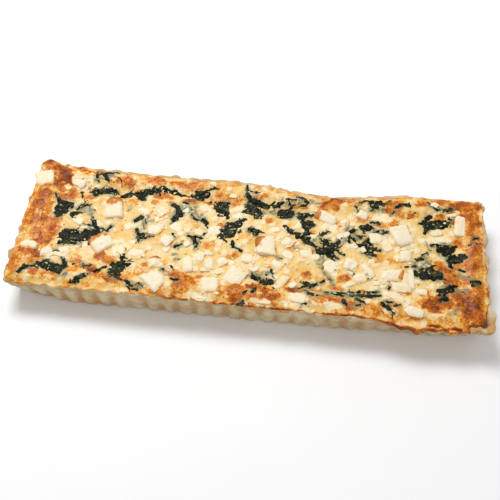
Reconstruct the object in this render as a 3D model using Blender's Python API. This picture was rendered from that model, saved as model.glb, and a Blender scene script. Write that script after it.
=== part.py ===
"""A rectangular spinach and feta quiche, baked in a long fluted tart tin and turned out of it.

The pastry case is one fluted, flared shell. The custard fills it, swells over its rim and has a pocket for
each topping. Each feta chunk and each large clump of spinach is a solid of its own, set in its pocket.
Metres, +Z up. The quiche lies along X and stands on z = 0, with the origin under the middle of its plan.
"""

import math
import random

import bmesh
import bpy
from mathutils import Matrix, Vector

MM = 0.001

# Pastry case. The outline is that of the rim, halfway up its flutes.
LENGTH = 349 * MM
WIDTH = 109 * MM
RIM_HEIGHT = 26 * MM
RIM_WAVE = 0.5 * MM
CORNER_RADIUS = 6 * MM
WALL = 4 * MM
BASE_THICKNESS = 4 * MM
FLARE = 2.5 * MM
EDGE_ROUNDING = 0.8 * MM
BASE_FILLET = 3 * MM
LONG_SIDE_FLUTES = 28
SHORT_SIDE_FLUTES = 8
FLUTE_DEPTH = 1.8 * MM
STEPS_PER_FLUTE = 4

# The top of the far side has slumped inwards over part of its length. The top of the near side leans in at -X
# and out at +X. The foot is straight.
SLUMP = 6 * MM
SLUMP_AT = 52 * MM
SLUMP_REACH = 38 * MM
LEAN = 1 * MM

# Custard: low swells, a puffed roll along the rim and a shallow trough inside the roll.
CUSTARD_HEIGHT = 26.6 * MM
ROLL_RISE = 2.0 * MM
ROLL_AT = 10 * MM
ROLL_REACH = 7 * MM
TROUGH_DROP = 0.9 * MM
TROUGH_AT = 20 * MM
TROUGH_REACH = 5 * MM
SWELL = 0.35 * MM
LIP_THICKNESS = 1.2 * MM
LIP_INSET = 1.6 * MM
GRID_ALONG = 42
GRID_ACROSS = 13
FIT_GAP = 0.4 * MM
POCKET_GAP = 0.5 * MM

# Feta chunks: centre x and y, length, width, turn and tilt in degrees, and how far the top stands proud.
FETA_EDGE = 1.0 * MM
FETA_DEPTH_SHARE = 0.8
FETA_ON_RIM_DEPTH = 3.4 * MM
FETA = [
    (-167, 39, 15, 14, 20, 3, 2.0),
    (-141, 39, 13, 8, -35, 5, 1.6),
    (-108, 17, 20, 14, 100, -9, 2.6),
    (-110, -14, 16, 14, 40, 6, 2.6),
    (-163, -22, 12, 6, -5, 4, 1.2),
    (-150, -25, 10, 8, 30, -6, 1.4),
    (-84, 18, 11, 6, -20, 0, 1.2),
    (-70, 19, 9, 8, 40, 4, 1.2),
    (-73, 2, 12, 9, 10, 3, 1.6),
    (-63, -6, 10, 9, -35, -4, 1.8),
    (-83, -20, 13, 8, -5, 2, 1.2),
    (-68, -26, 9, 8, 25, 8, 1.8),
    (-66, -41, 17, 13, -40, 5, 2.4),
    (-44, -25, 13, 8, 100, -4, 1.6),
    (-35, -18, 9, 6, 80, 5, 1.4),
    (-28, -23, 11, 7, 100, 3, 1.6),
    (-19, -20, 8, 7, 35, -3, 1.4),
    (-25, -41, 13, 12, 10, 4, 1.8),
    (-8, -32, 15, 14, 60, 5, 2.2),
    (-1, -15, 10, 8, 10, -4, 1.6),
    (12, -4, 18, 14, 100, 7, 2.6),
    (27, 1, 10, 9, -30, 5, 1.6),
    (21, -18, 10, 6, -30, 0, 1.2),
    (42, -7, 9, 7, 5, 3, 1.4),
    (26, -31, 13, 7, 60, -5, 1.4),
    (55, 26, 18, 8, -28, 14, 2.4),
    (69, 24, 8, 7, 80, 0, 1.4),
    (83, 33, 8, 8, 70, 9, 2.0),
    (75, -12, 11, 10, -20, 3, 1.6),
    (88, -16, 12, 5, -50, -6, 1.8),
    (82, -23, 9, 7, 20, 3, 1.4),
    (112, 17, 18, 14, -68, -8, 2.8),
    (115, 0, 10, 8, 95, 4, 1.8),
    (106, -18, 16, 9, 8, 6, 2.2),
    (112, -29, 14, 9, 5, 12, 2.0),
    (120, -47, 13, 7, -15, 5, 2.0),
    (127, -29, 10, 5, -5, -4, 1.4),
    (156, 29, 21, 9, 84, 7, 2.6),
]

# Spinach clumps: centre x and y, length, width and turn in degrees.
SPINACH_THICKNESS = 2.2 * MM
SPINACH_PROUD = 0.5 * MM
SPINACH_EDGE = 1.0 * MM
SPINACH_SIDES = 8
SPINACH = [
    (-147, 12, 15, 9, 35),
    (-134, -10, 20, 12, 0),
    (-144, -38, 19, 9, -18),
    (-96, -35, 17, 10, 50),
    (-118, 33, 21, 6, 4),
    (-82, 35, 34, 5, 8),
    (-41, 38, 17, 7, 35),
    (-25, 25, 13, 10, -40),
    (-16, 7, 20, 9, 50),
    (0, 29, 18, 14, -60),
    (24, 27, 11, 9, 0),
    (40, 21, 16, 10, -65),
    (37, 8, 20, 6, -40),
    (57, -1, 15, 11, -20),
    (83, 6, 19, 7, 0),
    (78, -37, 26, 6, 4),
    (135, 31, 22, 11, 15),
    (145, 8, 22, 8, -25),
    (130, -14, 19, 9, -5),
    (146, -25, 13, 8, 20),
]

COLOURS = {
    "pastry": ((0.62, 0.48, 0.29, 1), 0.75),
    "custard": ((0.90, 0.66, 0.30, 1), 0.45),
    "feta": ((0.96, 0.87, 0.70, 1), 0.55),
    "spinach": ((0.03, 0.045, 0.022, 1), 0.4),
}


def material(name):
    colour, roughness = COLOURS[name]
    made = bpy.data.materials.new(name)
    made.use_nodes = True
    shader = made.node_tree.nodes["Principled BSDF"]
    shader.inputs["Base Color"].default_value = colour
    shader.inputs["Roughness"].default_value = roughness
    shader.inputs["Metallic"].default_value = 0.0
    return made


def bell(distance):
    """1 at 0, falling smoothly to nothing about 2 away."""
    return math.exp(-distance * distance)


def slumped(x, y, height=RIM_HEIGHT):
    """A point of the regular plan, moved as the two long sides' slump and lean move it at that height."""
    share = (2 * y / WIDTH) ** 2 * height / RIM_HEIGHT
    if y > 0:
        return x, y - SLUMP * share * bell((x - SLUMP_AT) / SLUMP_REACH)
    return x, y - LEAN * share * 2 * x / LENGTH


def rim_height(x, y):
    """The pastry's edge rises and falls a little as it goes round."""
    return RIM_HEIGHT + RIM_WAVE * math.sin(x / (23 * MM) + y / (31 * MM))


def custard_height(x, y):
    inwards = min(LENGTH / 2 - abs(x), WIDTH / 2 - abs(y))
    roll = ROLL_RISE * bell((inwards - ROLL_AT) / ROLL_REACH)
    trough = TROUGH_DROP * bell((inwards - TROUGH_AT) / TROUGH_REACH)
    swells = math.sin(x / (21 * MM)) * math.cos(y / (14 * MM)) + math.sin(x / (9 * MM) + y / (11 * MM))
    return CUSTARD_HEIGHT + roll - trough + SWELL * swells


def linked(name, bm, kind):
    """The bmesh as a finished object of the scene, with its faces turned outwards."""
    bmesh.ops.recalc_face_normals(bm, faces=bm.faces)
    mesh = bpy.data.meshes.new(name)
    bm.to_mesh(mesh)
    bm.free()
    mesh.materials.append(bpy.data.materials[kind])
    made = bpy.data.objects.new(name, mesh)
    bpy.context.scene.collection.objects.link(made)
    return made


def bridged(bm, rings, close_first=True, close_last=True):
    """Joins rings of equally many vertices, one to the next, and closes the ends."""
    for lower, upper in zip(rings, rings[1:]):
        count = len(lower)
        for i in range(count):
            j = (i + 1) % count
            bm.faces.new((lower[i], lower[j], upper[j], upper[i]))
    if close_first:
        bm.faces.new(reversed(rings[0]))
    if close_last:
        bm.faces.new(rings[-1])


# Pastry case


def rim_stations():
    """(centre, outward direction, place in the flute from -0.5 to 0.5) of each station round the outline.

    The outline is CORNER_RADIUS out from the centres, which run along the sides and stop at the corners.
    """
    half_x = LENGTH / 2 - CORNER_RADIUS
    half_y = WIDTH / 2 - CORNER_RADIUS
    corners = [Vector((half_x * sx, half_y * sy)) for sx, sy in ((1, -1), (1, 1), (-1, 1), (-1, -1))]
    flutes = [SHORT_SIDE_FLUTES, LONG_SIDE_FLUTES, SHORT_SIDE_FLUTES, LONG_SIDE_FLUTES]
    stations = []
    for side in range(4):
        start, end = corners[side], corners[(side + 1) % 4]
        heading = side * math.pi / 2
        outward = Vector((math.cos(heading), math.sin(heading)))
        steps = flutes[side] * STEPS_PER_FLUTE
        for i in range(steps):
            place = i % STEPS_PER_FLUTE / STEPS_PER_FLUTE - 0.5
            stations.append((start.lerp(end, i / steps), outward, place))
        for i in range(STEPS_PER_FLUTE):
            turned = heading + math.pi / 2 * i / STEPS_PER_FLUTE
            direction = Vector((math.cos(turned), math.sin(turned)))
            stations.append((end, direction, i / STEPS_PER_FLUTE - 0.5))
    return stations


def flute(place):
    """A flute's outline: a broad round crest between two narrow grooves."""
    return 0.5 - abs(2 * place) ** 2.2


def case_ring(bm, stations, inset, flute_share, height):
    """One ring of the case, that far in from the rim. Height is a number, or a function of x and y."""
    ring = []
    for centre, outward, place in stations:
        reach = CORNER_RADIUS - inset + flute_share * FLUTE_DEPTH * flute(place)
        regular_x, regular_y = centre + outward * reach
        if callable(height):
            x, y = slumped(regular_x, regular_y)
            ring.append(bm.verts.new((x, y, height(x, y))))
        else:
            x, y = slumped(regular_x, regular_y, height)
            ring.append(bm.verts.new((x, y, height)))
    return ring


def make_case():
    bm = bmesh.new()
    stations = rim_stations()

    def below_rim(x, y):
        return rim_height(x, y) - EDGE_ROUNDING

    rings = [
        case_ring(bm, stations, FLARE, 0.8, 0.0),
        case_ring(bm, stations, 0.0, 1.0, below_rim),
        case_ring(bm, stations, EDGE_ROUNDING, 0.8, rim_height),
        case_ring(bm, stations, WALL, 0.0, rim_height),
        case_ring(bm, stations, WALL + FLARE * 0.8, 0.0, BASE_THICKNESS + BASE_FILLET),
        case_ring(bm, stations, WALL + FLARE * 0.8 + BASE_FILLET * 0.6, 0.0, BASE_THICKNESS),
    ]
    bridged(bm, rings)
    return linked("crust", bm, "pastry")


# Custard


def in_corner(a, b):
    """Maps the unit square onto the quarter disc, keeping its two inner sides."""
    return a * math.sqrt(1 - b * b / 2), b * math.sqrt(1 - a * a / 2)


def plan_point(u, v, inset, height=RIM_HEIGHT):
    """The point of the rounded plan for u and v from -1 to 1 at that height, with its outline drawn in."""
    half_x, half_y = LENGTH / 2 - inset, WIDTH / 2 - inset
    radius = max(CORNER_RADIUS - inset, 0.5 * MM)
    x, y = abs(u) * half_x, abs(v) * half_y
    past_x, past_y = x - (half_x - radius), y - (half_y - radius)
    if past_x > 0 and past_y > 0:
        dx, dy = in_corner(past_x / radius, past_y / radius)
        x, y = half_x - radius + dx * radius, half_y - radius + dy * radius
    return slumped(math.copysign(x, u), math.copysign(y, v), height)


def grid_border():
    """The grid's border cells as (i, j), anticlockwise from the corner at lowest x and y."""
    along, across = GRID_ALONG, GRID_ACROSS
    return (
        [(i, 0) for i in range(along)]
        + [(along, j) for j in range(across)]
        + [(i, across) for i in range(along, 0, -1)]
        + [(0, j) for j in range(across, 0, -1)]
    )


def border_ring(bm, inset, height):
    ring = []
    for i, j in grid_border():
        u, v = 2 * i / GRID_ALONG - 1, 2 * j / GRID_ACROSS - 1
        if callable(height):
            x, y = plan_point(u, v, inset)
            ring.append(bm.verts.new((x, y, height(x, y))))
        else:
            x, y = plan_point(u, v, inset, height)
            ring.append(bm.verts.new((x, y, height)))
    return ring


def make_custard():
    """The filling: a plug inside the case, and over it a relief whose edge laps onto the rim."""
    bm = bmesh.new()
    top = {}
    for i in range(GRID_ALONG + 1):
        for j in range(GRID_ACROSS + 1):
            x, y = plan_point(2 * i / GRID_ALONG - 1, 2 * j / GRID_ACROSS - 1, LIP_INSET)
            at_edge = i in (0, GRID_ALONG) or j in (0, GRID_ACROSS)
            height = rim_height(x, y) + FIT_GAP + LIP_THICKNESS if at_edge else custard_height(x, y)
            top[i, j] = bm.verts.new((x, y, height))
    for i in range(GRID_ALONG):
        for j in range(GRID_ACROSS):
            bm.faces.new((top[i, j], top[i + 1, j], top[i + 1, j + 1], top[i, j + 1]))

    def on_rim(x, y):
        return rim_height(x, y) + FIT_GAP

    wall = WALL + FIT_GAP
    rings = [
        border_ring(bm, wall + FLARE * 0.8 + BASE_FILLET * 0.6, BASE_THICKNESS + FIT_GAP),
        border_ring(bm, wall + FLARE * 0.8, BASE_THICKNESS + BASE_FILLET + FIT_GAP),
        border_ring(bm, wall, on_rim),
        border_ring(bm, LIP_INSET, on_rim),
        [top[cell] for cell in grid_border()],
    ]
    bridged(bm, rings, close_last=False)
    return linked("filling", bm, "custard")


# Toppings


def cut_outline(length, width, draw):
    """A hand-cut block's plan: a rectangle whose corners are uneven, one or two of them cut off."""
    cut_off = set(draw.sample(range(4), draw.choice((1, 2))))
    points = []
    for corner, (sx, sy) in enumerate(((-1, -1), (1, -1), (1, 1), (-1, 1))):
        x = sx * length / 2 * draw.uniform(0.86, 1.0)
        y = sy * width / 2 * draw.uniform(0.86, 1.0)
        if corner not in cut_off:
            points.append(Vector((x, y)))
            continue
        share = draw.uniform(0.35, 0.6)
        pair = [Vector((x * (1 - share), y)), Vector((x, y * (1 - share)))]
        points += pair if sx * sy < 0 else reversed(pair)
    return points


def leaf_outline(length, width, draw):
    """A clump's plan: an ellipse with an uneven edge."""
    points = []
    for i in range(SPINACH_SIDES):
        angle = 2 * math.pi * i / SPINACH_SIDES
        reach = draw.uniform(0.82, 1.0) / 2
        points.append(Vector((length * reach * math.cos(angle), width * reach * math.sin(angle))))
    return points


def block(outline, depth, edge):
    """An upright block on that outline from z = -depth to 0, its top edge drawn in and its foot a little."""
    bm = bmesh.new()
    span = min(max(p.x for p in outline), max(p.y for p in outline))
    drawn_in = 1 - edge / span
    levels = [(-depth, 0.9), (-edge * 0.7, 1.0), (0.0, drawn_in)]
    rings = [[bm.verts.new((p.x * share, p.y * share, z)) for p in outline] for z, share in levels]
    bridged(bm, rings)
    return bm


def grown(bm, gap):
    """The block enlarged about its middle by gap on every side."""
    corners = [v.co for v in bm.verts]
    low = Vector(map(min, *corners))
    high = Vector(map(max, *corners))
    middle, size = (low + high) / 2, high - low
    factors = Vector((s + 2 * gap) / s for s in size)
    for vertex in bm.verts:
        away = vertex.co - middle
        vertex.co = middle + Vector((away.x * factors.x, away.y * factors.y, away.z * factors.z))
    return bm


def over_rim(x, y, reach):
    """Whether a block of that reach about x, y would stand on the pastry's wall."""
    clear = WALL + FLARE + 1.5 * MM
    return abs(x) + reach > LENGTH / 2 - clear or abs(y) + reach > WIDTH / 2 - clear


def add_topping(name, kind, outline, depth, edge, place, pockets):
    """Sets one block at its place, and adds its pocket's cutter to the collection pockets."""
    made = linked(name, block(outline, depth, edge), kind)
    made.matrix_world = place
    cutter = linked(name + "_pocket", grown(block(outline, depth, edge), POCKET_GAP), kind)
    cutter.matrix_world = place
    bpy.context.scene.collection.objects.unlink(cutter)
    pockets.objects.link(cutter)
    cutter.hide_render = True
    cutter.display_type = "WIRE"


def add_feta(pockets):
    for number, (x, y, length, width, turn, tilt, proud) in enumerate(FETA, 1):
        draw = random.Random(number)
        x, y, length, width, proud = (value * MM for value in (x, y, length, width, proud))
        outline = cut_outline(length, width, draw)
        depth = FETA_ON_RIM_DEPTH if over_rim(x, y, max(length, width) / 2) else width * FETA_DEPTH_SHARE
        spin = Matrix.Rotation(math.radians(turn), 4, "Z") @ Matrix.Rotation(math.radians(tilt), 4, "X")
        place = Matrix.Translation((x, y, custard_height(x, y) + proud)) @ spin
        add_topping(f"feta_{number:02d}", "feta", outline, depth, FETA_EDGE, place, pockets)


def add_spinach(pockets):
    for number, (x, y, length, width, turn) in enumerate(SPINACH, 1):
        draw = random.Random(100 + number)
        x, y, length, width = (value * MM for value in (x, y, length, width))
        outline = leaf_outline(length, width, draw)
        spin = Matrix.Rotation(math.radians(turn), 4, "Z")
        place = Matrix.Translation((x, y, custard_height(x, y) + SPINACH_PROUD)) @ spin
        name = f"spinach_{number:02d}"
        add_topping(name, "spinach", outline, SPINACH_THICKNESS, SPINACH_EDGE, place, pockets)


def cut_pockets(custard, pockets):
    cut = custard.modifiers.new("topping pockets", "BOOLEAN")
    cut.operation = "DIFFERENCE"
    cut.operand_type = "COLLECTION"
    cut.collection = pockets
    cut.solver = "EXACT"


def main():
    for old in list(bpy.data.objects):
        bpy.data.objects.remove(old)
    for name in COLOURS:
        material(name)
    pockets = bpy.data.collections.new("pockets")
    bpy.context.scene.collection.children.link(pockets)
    case = make_case()
    case.data.shade_smooth()
    case.data.set_sharp_from_angle(angle=math.radians(40))
    custard = make_custard()
    add_feta(pockets)
    add_spinach(pockets)
    cut_pockets(custard, pockets)


main()
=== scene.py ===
"""The looks of a spinach and feta quiche: pastry case, browned custard, feta, spinach, floor, lamps, camera.

The CAD model is the frame. Lengths are millimetres until a mesh is made; lamps and camera are in metres.
A place is (x, y) on plan from the middle of the quiche, x along it and y across it, and a turn is in degrees
anticlockwise from x. In the functions p is an array of such places, and seeds are the whole numbers that end
each call of noise, fractal and cells.
"""

import itertools
import math
import random

import bmesh
import bpy
import numpy as np
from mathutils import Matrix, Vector


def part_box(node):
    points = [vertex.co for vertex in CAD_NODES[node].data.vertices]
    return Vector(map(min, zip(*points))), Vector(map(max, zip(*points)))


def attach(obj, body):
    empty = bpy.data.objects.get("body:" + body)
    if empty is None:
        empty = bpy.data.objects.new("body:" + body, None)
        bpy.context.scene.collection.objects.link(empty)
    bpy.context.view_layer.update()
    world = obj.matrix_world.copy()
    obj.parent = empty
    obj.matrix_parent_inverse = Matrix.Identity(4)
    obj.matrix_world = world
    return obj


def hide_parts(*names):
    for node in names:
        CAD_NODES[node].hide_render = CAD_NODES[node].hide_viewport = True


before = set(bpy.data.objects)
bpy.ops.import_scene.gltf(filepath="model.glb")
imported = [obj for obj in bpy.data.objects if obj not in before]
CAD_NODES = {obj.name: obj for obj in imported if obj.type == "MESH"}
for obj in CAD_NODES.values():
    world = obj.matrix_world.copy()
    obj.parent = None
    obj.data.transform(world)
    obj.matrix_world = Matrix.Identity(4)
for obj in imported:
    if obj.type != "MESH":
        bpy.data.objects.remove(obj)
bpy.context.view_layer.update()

MM = 0.001
FETA_NODES = sorted(name for name in CAD_NODES if name.startswith("feta"))
SPINACH_NODES = sorted(name for name in CAD_NODES if name.startswith("spinach"))

# Pastry case, as in the CAD.
CASE_LOW, CASE_HIGH = (np.array(corner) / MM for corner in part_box("crust"))
FLUTE_DEPTH = 1.8
RIM_WAVE = 0.5
HALF_X = (CASE_HIGH[0] - CASE_LOW[0] - FLUTE_DEPTH) / 2
HALF_Y = CASE_HIGH[1] - FLUTE_DEPTH / 2
RIM = CASE_HIGH[2] - RIM_WAVE
CORNER_RADIUS = 6
FLARE = 2.5
LONG_SIDE_FLUTES = 28
SHORT_SIDE_FLUTES = 8
SLUMP = 6
SLUMP_AT = 52
SLUMP_REACH = 38
LEAN = 1

# Raised knobs of dough on the rim: place, reach, how far they swell outwards and how high.
KNOBS = [
    (-168, 55, 7, 2.4, 1.5), (-153, 55, 4, 1.4, 1.0), (-141, 54, 3, 0.8, 0.6), (-112, 53, 4, 1.6, 0.6),
    (-68, 54, 7, 0.6, 0.4), (10, 52, 2, 1.6, 0.4), (113, 54, 6, 1.6, 0.6), (130, 54, 5, 0.6, 0.4),
    (172, 50, 5, 1.6, 0.6), (174, 22, 4, 1.4, 0.5), (174, 2, 4, 1.7, 0.6), (174, -24, 4, 1.0, 0.4),
    (174, -46, 7, 2.6, 1.4), (169, -54, 5, 1.6, 1.2), (-174, -29, 4, 2.2, 0.5), (-174, -6, 4, 1.4, 0.4),
    (-174, 22, 3, 1.2, 0.4), (-175, -44, 4, 1.6, 0.5), (-172, -52, 6, 0.8, 0.6),
]

# Custard: its level, puffed roll and trough are the CAD's, and its edge stays inside the rim by the insets.
CUSTARD = 26.6
ROLL_RISE = 2.0
TROUGH_DROP = 0.9
INSET_FAR = 3.0
INSET_NEAR = 0.9
INSET_LEFT = 0.4
INSET_RIGHT = 1.5

# Custard that ran over the near rim: how far along, reach along the rim and drop.
DRIPS = [(104, 3, 1.5), (114, 4, 4), (125, 4.5, 6), (138, 4, 2.5), (150, 4, 4)]

# A round lump of custard on the far corner at the -x end, and a notch in the near rim at the +x end: place,
# half-length, half-width and height.
LUMP = (-166, 53, 8, 6.5, 2.4)
NOTCH = (161, -55, 2.6, 4.5, -3.0)

# Browned patches: place, half-length, half-width, depth of colour in percent, and any turn.
BROWNED = [
    # left end
    (-168, 56, 10, 6, 80), (-160, 50, 8, 5, 72, -30), (-153, 44, 8, 9, 72), (-155, 46, 4, 3, 86),
    (-147, 40, 6, 4, 86), (-158, 37, 6, 5, 66, -30), (-150, 34, 9, 6, 66), (-143, 31, 8, 5, 56, -20),
    (-147, 25, 9, 6, 54), (-136, 50, 10, 4, 66, -15), (-140, 53, 8, 2, 50), (-165, 26, 10, 8, 68),
    (-161, 14, 10, 13, 64), (-162, 12, 2, 10, 88, 12), (-170, 20, 6, 13, 60), (-155, 0, 9, 10, 60),
    (-153, -11, 8, 9, 68), (-148, -1, 4, 9, 60), (-161, -8, 9, 10, 50), (-168, 0, 7, 15, 32),
    (-155, -17, 8, 3, 74), (-161, -28, 12, 5, 68), (-158, -34, 8, 4, 50), (-168, -37, 7, 8, 48),
    (-166, -46, 6, 6, 42), (-154, -44, 5, 4, 80), (-144, -44, 13, 3, 42), (-140, -48, 16, 4, 30),
    (-130, 26, 8, 3, 44), (-127, -30, 9, 4, 40, -20), (-116, -36, 9, 4, 64), (-128, -39, 8, 3, 42),
    (-105, -26, 9, 4, 56, -10), (-98, -28, 4, 2, 75, -30), (-108, -43, 12, 4, 44, 10),
    (-95, -44, 8, 4, 62, -10), (-86, -42, 8, 4, 50), (-100, -49, 16, 3, 30), (-127, 7, 5, 5, 22),
    # far side, left half
    (-104, 46, 11, 7, 60), (-100, 42, 8, 6, 70), (-93, 36, 5, 3, 70), (-87, 46, 7, 6, 50),
    (-78, 46, 11, 6, 66), (-63, 46, 9, 6, 44), (-48, 45, 10, 8, 50), (-47, 47, 3, 3, 64),
    (-35, 50, 6, 4, 58), (-28, 45, 6, 8, 44), (-22, 36, 15, 5, 54), (-14, 33, 5, 4, 64, 60),
    (-72, 33, 9, 4, 68), (-78, 27, 5, 3, 44), (-66, 28, 4, 3, 48), (-48, 31, 9, 3, 66, -5),
    (-36, 31, 7, 2, 50), (-98, 26, 10, 7, 26),
    # middle
    (-30, -7, 4, 4, 40), (-27, -11, 4, 3, 30), (-10, -13, 4, 3, 56), (-14, -15, 6, 4, 28),
    (-24, 12, 4, 3, 38), (-45, 11, 6, 5, 24), (-59, -26, 3, 3, 36), (12, 19, 4, 4, 34), (12, -22, 6, 4, 30),
    (-5, 3, 7, 6, 16), (36, -24, 4, 7, 30), (44, -24, 5, 4, 58), (53, -26, 5, 3, 34), (70, -24, 5, 4, 58),
    (82, 28, 5, 3, 50), (90, 31, 5, 4, 34), (46, 13, 3, 2, 40), (65, -18, 5, 4, 30), (100, -5, 8, 8, 20),
    (112, 3, 2, 1, 50),
    # near side, left half
    (-45, -36, 11, 4, 60), (-42, -42, 11, 8, 68), (-47, -50, 8, 5, 54), (-33, -34, 5, 3, 60),
    (-53, -33, 4, 4, 48), (-79, -35, 9, 5, 34), (-85, -38, 6, 5, 40), (-75, -29, 3, 2, 60),
    (-8, -42, 13, 5, 62, 12), (5, -38, 10, 4, 70, 10), (20, -44, 9, 5, 70), (-4, -46, 13, 6, 54),
    (9, -47, 8, 4, 60), (-16, -47, 6, 4, 44), (15, -41, 11, 4, 60),
    # near side, right half
    (36, -38, 9, 3, 76, 5), (66, -33, 6, 2, 50), (84, -33, 3, 1.5, 64), (70, -45, 16, 4, 50),
    (90, -46, 13, 4, 46), (78, -49, 10, 2, 60), (105, -45, 8, 4, 38), (51, -45, 7, 4, 46),
    (52, -36, 6, 2, 44), (112, -52, 18, 3, 42), (130, -49, 10, 4, 32), (60, -41, 10, 3, 40),
    # far side, right half
    (62, 43, 9, 7, 74, 45), (57, 38, 8, 5, 70, 20), (70, 46, 9, 4, 68), (78, 47, 6, 3, 48),
    (35, 34, 10, 2, 50), (6, 44, 7, 4, 34), (2, 40, 6, 3, 40), (104, 27, 9, 5, 48, 15), (97, 25, 6, 4, 52),
    (105, 40, 8, 5, 42), (103, 44, 5, 4, 50), (112, 36, 8, 5, 30), (120, 37, 6, 5, 46), (125, 48, 7, 4, 54),
    (110, 46, 12, 4, 36),
    # right end
    (145, 50, 10, 5, 56), (158, 49, 10, 7, 78), (166, 51, 9, 6, 66), (154, 45, 9, 3, 76),
    (141, 37, 4, 5, 72), (149, 41, 6, 3, 50), (152, 34, 5, 3, 84, 10), (166, 33, 7, 11, 76),
    (163, 20, 5, 9, 68), (154, 15, 5, 4, 54), (168, 41, 4, 6, 60), (166, 5, 7, 9, 66), (163, -3, 7, 6, 60),
    (148, -14, 10, 9, 66), (158, -15, 9, 8, 54), (140, -6, 5, 5, 50), (145, -10, 4, 3, 70),
    (139, -37, 15, 8, 80, 15), (160, -33, 13, 12, 76), (164, -45, 8, 7, 60), (128, -41, 4, 3, 72),
    (134, -42, 8, 5, 76), (169, -18, 3, 12, 50), (150, -45, 9, 5, 36), (152, -30, 8, 6, 70),
    # what ran over the near rim
    (134, -55, 6, 1.5, 85), (150, -56, 6, 1.5, 92), (161.5, -53.5, 3.5, 4.5, 100), (169, -56, 5, 1.5, 85),
]

# Melted cheese, white and even: place, half-length, half-width, cover in percent, and any turn.
MELTS = [
    (-141, 39, 9, 5, 100, -35), (-147, 34, 5, 3, 100, 10), (-133, 36, 5, 3, 100, -20),
    (-31, -51, 8, 3, 100), (12, -50, 9, 2.5, 100), (62, -48, 7, 3, 100), (40, -47, 9, 5, 100, 10),
    (29, -50, 4, 4, 100), (101, -33, 8, 3, 100), (-131, 45, 3, 4, 100), (96, 31, 8, 4, 100),
    (138, 17, 9, 5, 100), (98, 13, 9, 6, 100), (-140, -25, 9, 5, 100),
]

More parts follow.
